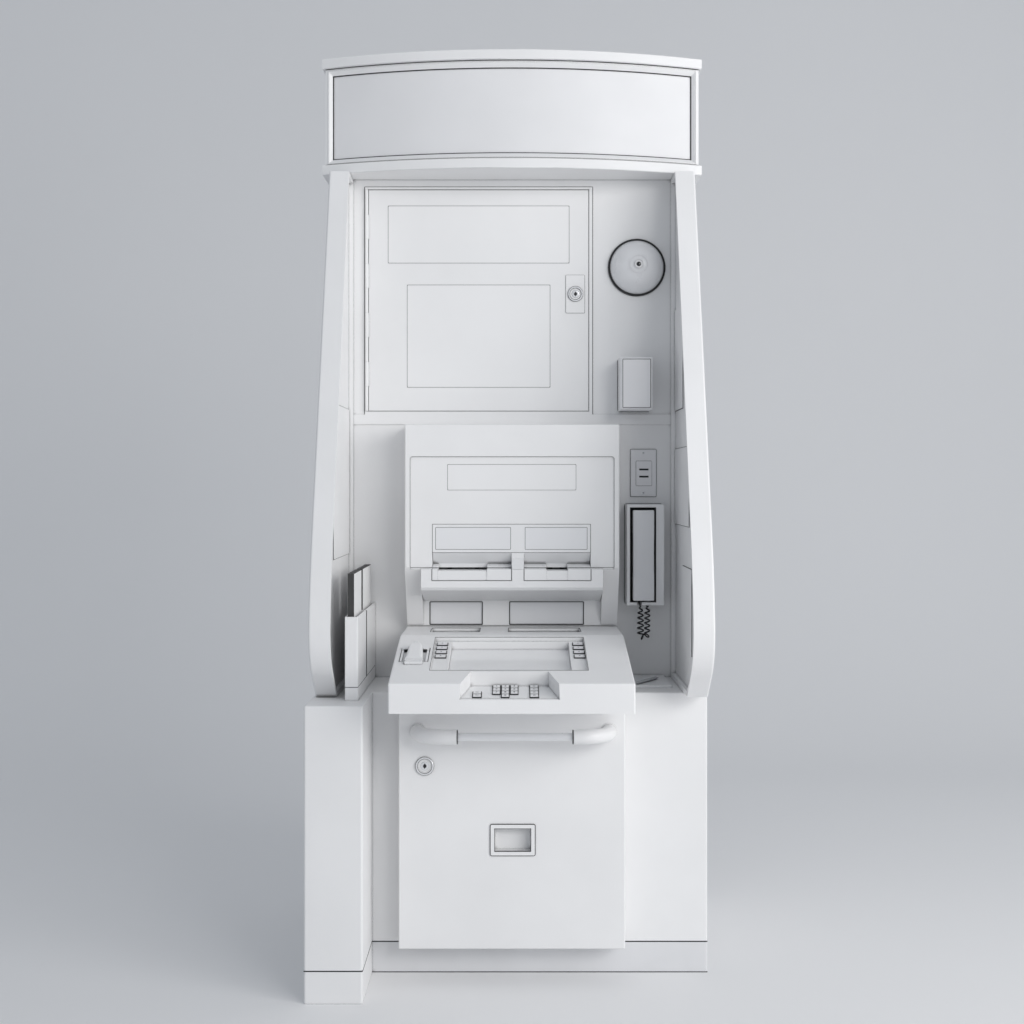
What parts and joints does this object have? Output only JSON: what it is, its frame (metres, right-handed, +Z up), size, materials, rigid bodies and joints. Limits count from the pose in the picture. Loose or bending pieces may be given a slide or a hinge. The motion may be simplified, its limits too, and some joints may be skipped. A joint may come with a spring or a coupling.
{
  "type": "cash machine",
  "caption": "Walk-up cash machine: safe cabinet with door and rail, sloping console with keys and screen, fascia, privacy wings, phone and bowed lit canopy.",
  "frame": {"origin": "on the floor under the middle of the whole machine", "axes": "+X to the customer's right, -Y towards the customer, +Z up"},
  "size_m": [0.961, 0.917, 2.238],
  "materials": {
    "cabinet_paint": "fine powder coat",
    "plinth_paint": "fine powder coat",
    "door_paint": "fine powder coat",
    "wall_paint": "satin paint",
    "wing_paint": "satin moulded panel",
    "canopy_paint": "satin moulded panel",
    "sign_acrylic": "opal acrylic",
    "moulding": "fine moulded grain",
    "reader_plastic": "fine moulded grain",
    "shutter_plastic": "smooth",
    "screen_glass": "anti-glare cover over the panel",
    "sensor_plastic": "fine moulded grain",
    "dome_plastic": "polished dome",
    "fitting_plastic": "smooth",
    "phone_plastic": "fine moulded grain",
    "cord_jacket": "satin jacket",
    "rack_plastic": "smooth",
    "envelope_paper": "stacked sheets",
    "tray_plastic": "smooth",
    "pen_plastic": "smooth",
    "key_plastic": "fine moulded grain",
    "bare_steel": "turned",
    "rail_steel": "brushed along the bar",
    "rail_plastic": "smooth",
    "cassette_plastic": "moulded grain"
  },
  "bodies": {
    "machine": {"back_wall": "wall_paint", "cabinet_body": "cabinet_paint", "camera_dome": "dome_plastic", "canopy_shell": "canopy_paint", "canopy_sign": "sign_acrylic", "cash_cassettes": "cassette_plastic", "console": "moulding", "display": "screen_glass", "envelope_holder": "rack_plastic", "fascia": "moulding", "handset_cord": "cord_jacket", "hinge_pins": "bare_steel", "left_wing": "wing_paint", "outlet_plate": "fitting_plastic", "phone_base": "phone_plastic", "plinth": "plinth_paint", "reader_module": "reader_plastic", "rear_casing": "cabinet_paint", "rear_cover": "plinth_paint", "right_wing": "wing_paint", "sensor_box": "fitting_plastic", "side_pedestal": "cabinet_paint", "vein_reader": "sensor_plastic", "writing_tray": "tray_plastic"},
    "safe_door": {"safe_door": "door_paint", "handrail_bar": "rail_steel", "handrail_elbows": "rail_plastic"},
    "safe_lock": {"safe_lock_plug": "bare_steel"},
    "upper_door": {"upper_door": "wall_paint"},
    "upper_lock": {"upper_lock_plug": "bare_steel"},
    "coin_shutter": {"coin_shutter": "shutter_plastic"},
    "note_shutter": {"note_shutter": "shutter_plastic"},
    "handset": {"handset": "phone_plastic"},
    "envelope_stack_front": {"envelope_stack_front": "envelope_paper"},
    "envelope_stack_rear": {"envelope_stack_rear": "envelope_paper"},
    "pen": {"pen": "pen_plastic"},
    "action_key_1": {"action_key_1": "key_plastic"},
    "action_key_2": {"action_key_2": "key_plastic"},
    "action_key_3": {"action_key_3": "key_plastic"},
    "action_key_4": {"action_key_4": "key_plastic"},
    "cancel_key_1": {"cancel_key_1": "key_plastic"},
    "cancel_key_2": {"cancel_key_2": "key_plastic"},
    "digit_key_0": {"digit_key_0": "key_plastic"},
    "digit_key_1": {"digit_key_1": "key_plastic"},
    "digit_key_2": {"digit_key_2": "key_plastic"},
    "digit_key_3": {"digit_key_3": "key_plastic"},
    "digit_key_4": {"digit_key_4": "key_plastic"},
    "digit_key_5": {"digit_key_5": "key_plastic"},
    "digit_key_6": {"digit_key_6": "key_plastic"},
    "digit_key_7": {"digit_key_7": "key_plastic"},
    "digit_key_8": {"digit_key_8": "key_plastic"},
    "digit_key_9": {"digit_key_9": "key_plastic"},
    "side_key_left_1": {"side_key_left_1": "key_plastic"},
    "side_key_left_2": {"side_key_left_2": "key_plastic"},
    "side_key_left_3": {"side_key_left_3": "key_plastic"},
    "side_key_left_4": {"side_key_left_4": "key_plastic"},
    "side_key_right_1": {"side_key_right_1": "key_plastic"},
    "side_key_right_2": {"side_key_right_2": "key_plastic"},
    "side_key_right_3": {"side_key_right_3": "key_plastic"},
    "side_key_right_4": {"side_key_right_4": "key_plastic"}
  },
  "joints": [
    {"name": "safe_door_hinge", "type": "hinge", "parent": "machine", "child": "safe_door", "pos_m": [0.252, -0.1895, 0.368], "axis": [0, 0, 1], "range_deg": [0, 100]},
    {"name": "safe_lock_turn", "type": "hinge", "parent": "safe_door", "child": "safe_lock", "pos_m": [-0.203, -0.2125, 0.505], "axis": [0, 1, 0], "range_deg": [0, 90]},
    {"name": "upper_door_hinge", "type": "hinge", "parent": "machine", "child": "upper_door", "pos_m": [-0.3735, 0.124, 1.6335], "axis": [0, 0, -1], "range_deg": [0, 90]},
    {"name": "upper_lock_turn", "type": "hinge", "parent": "upper_door", "child": "upper_lock", "pos_m": [0.1626, 0.1265, 1.65], "axis": [0, 1, 0], "range_deg": [0, 90]},
    {"name": "coin_shutter_slide", "type": "slide", "parent": "machine", "child": "coin_shutter", "axis": [0, -1, 0], "range_m": [0, 0.082]},
    {"name": "note_shutter_slide", "type": "slide", "parent": "machine", "child": "note_shutter", "axis": [0, -1, 0], "range_m": [0, 0.082]},
    {"name": "handset_lift_off", "type": "slide", "parent": "machine", "child": "handset", "axis": [0, -1, 0], "range_m": [0, 0.08]},
    {"name": "envelope_front_lift", "type": "slide", "parent": "machine", "child": "envelope_stack_front", "axis": [0, 0, 1], "range_m": [0, 0.18]},
    {"name": "envelope_rear_lift", "type": "slide", "parent": "machine", "child": "envelope_stack_rear", "axis": [0, 0, 1], "range_m": [0, 0.18]},
    {"name": "pen_lift", "type": "slide", "parent": "machine", "child": "pen", "axis": [0, 0, 1], "range_m": [0, 0.08]},
    {"name": "action_key_1_press", "type": "slide", "parent": "machine", "child": "action_key_1", "axis": [0, 0.2012, -0.9796], "range_m": [0, 0.003], "stiffness_N_per_m": 200, "springref_m": -0.002},
    {"name": "action_key_2_press", "type": "slide", "parent": "machine", "child": "action_key_2", "axis": [0, 0.2012, -0.9796], "range_m": [0, 0.003], "stiffness_N_per_m": 200, "springref_m": -0.002},
    {"name": "action_key_3_press", "type": "slide", "parent": "machine", "child": "action_key_3", "axis": [0, 0.2012, -0.9796], "range_m": [0, 0.003], "stiffness_N_per_m": 200, "springref_m": -0.002},
    {"name": "action_key_4_press", "type": "slide", "parent": "machine", "child": "action_key_4", "axis": [0, 0.2012, -0.9796], "range_m": [0, 0.003], "stiffness_N_per_m": 200, "springref_m": -0.002},
    {"name": "cancel_key_1_press", "type": "slide", "parent": "machine", "child": "cancel_key_1", "axis": [0, 0.2012, -0.9796], "range_m": [0, 0.003], "stiffness_N_per_m": 200, "springref_m": -0.002},
    {"name": "cancel_key_2_press", "type": "slide", "parent": "machine", "child": "cancel_key_2", "axis": [0, 0.2012, -0.9796], "range_m": [0, 0.003], "stiffness_N_per_m": 200, "springref_m": -0.002},
    {"name": "digit_key_0_press", "type": "slide", "parent": "machine", "child": "digit_key_0", "axis": [0, 0.2012, -0.9796], "range_m": [0, 0.003], "stiffness_N_per_m": 200, "springref_m": -0.002},
    {"name": "digit_key_1_press", "type": "slide", "parent": "machine", "child": "digit_key_1", "axis": [0, 0.2012, -0.9796], "range_m": [0, 0.003], "stiffness_N_per_m": 200, "springref_m": -0.002},
    {"name": "digit_key_2_press", "type": "slide", "parent": "machine", "child": "digit_key_2", "axis": [0, 0.2012, -0.9796], "range_m": [0, 0.003], "stiffness_N_per_m": 200, "springref_m": -0.002},
    {"name": "digit_key_3_press", "type": "slide", "parent": "machine", "child": "digit_key_3", "axis": [0, 0.2012, -0.9796], "range_m": [0, 0.003], "stiffness_N_per_m": 200, "springref_m": -0.002},
    {"name": "digit_key_4_press", "type": "slide", "parent": "machine", "child": "digit_key_4", "axis": [0, 0.2012, -0.9796], "range_m": [0, 0.003], "stiffness_N_per_m": 200, "springref_m": -0.002},
    {"name": "digit_key_5_press", "type": "slide", "parent": "machine", "child": "digit_key_5", "axis": [0, 0.2012, -0.9796], "range_m": [0, 0.003], "stiffness_N_per_m": 200, "springref_m": -0.002},
    {"name": "digit_key_6_press", "type": "slide", "parent": "machine", "child": "digit_key_6", "axis": [0, 0.2012, -0.9796], "range_m": [0, 0.003], "stiffness_N_per_m": 200, "springref_m": -0.002},
    {"name": "digit_key_7_press", "type": "slide", "parent": "machine", "child": "digit_key_7", "axis": [0, 0.2012, -0.9796], "range_m": [0, 0.003], "stiffness_N_per_m": 200, "springref_m": -0.002},
    {"name": "digit_key_8_press", "type": "slide", "parent": "machine", "child": "digit_key_8", "axis": [0, 0.2012, -0.9796], "range_m": [0, 0.003], "stiffness_N_per_m": 200, "springref_m": -0.002},
    {"name": "digit_key_9_press", "type": "slide", "parent": "machine", "child": "digit_key_9", "axis": [0, 0.2012, -0.9796], "range_m": [0, 0.003], "stiffness_N_per_m": 200, "springref_m": -0.002},
    {"name": "side_key_left_1_press", "type": "slide", "parent": "machine", "child": "side_key_left_1", "axis": [0, 0.2012, -0.9796], "range_m": [0, 0.003], "stiffness_N_per_m": 200, "springref_m": -0.002},
    {"name": "side_key_left_2_press", "type": "slide", "parent": "machine", "child": "side_key_left_2", "axis": [0, 0.2012, -0.9796], "range_m": [0, 0.003], "stiffness_N_per_m": 200, "springref_m": -0.002},
    {"name": "side_key_left_3_press", "type": "slide", "parent": "machine", "child": "side_key_left_3", "axis": [0, 0.2012, -0.9796], "range_m": [0, 0.003], "stiffness_N_per_m": 200, "springref_m": -0.002},
    {"name": "side_key_left_4_press", "type": "slide", "parent": "machine", "child": "side_key_left_4", "axis": [0, 0.2012, -0.9796], "range_m": [0, 0.003], "stiffness_N_per_m": 200, "springref_m": -0.002},
    {"name": "side_key_right_1_press", "type": "slide", "parent": "machine", "child": "side_key_right_1", "axis": [0, 0.2012, -0.9796], "range_m": [0, 0.003], "stiffness_N_per_m": 200, "springref_m": -0.002},
    {"name": "side_key_right_2_press", "type": "slide", "parent": "machine", "child": "side_key_right_2", "axis": [0, 0.2012, -0.9796], "range_m": [0, 0.003], "stiffness_N_per_m": 200, "springref_m": -0.002},
    {"name": "side_key_right_3_press", "type": "slide", "parent": "machine", "child": "side_key_right_3", "axis": [0, 0.2012, -0.9796], "range_m": [0, 0.003], "stiffness_N_per_m": 200, "springref_m": -0.002},
    {"name": "side_key_right_4_press", "type": "slide", "parent": "machine", "child": "side_key_right_4", "axis": [0, 0.2012, -0.9796], "range_m": [0, 0.003], "stiffness_N_per_m": 200, "springref_m": -0.002}
  ]
}
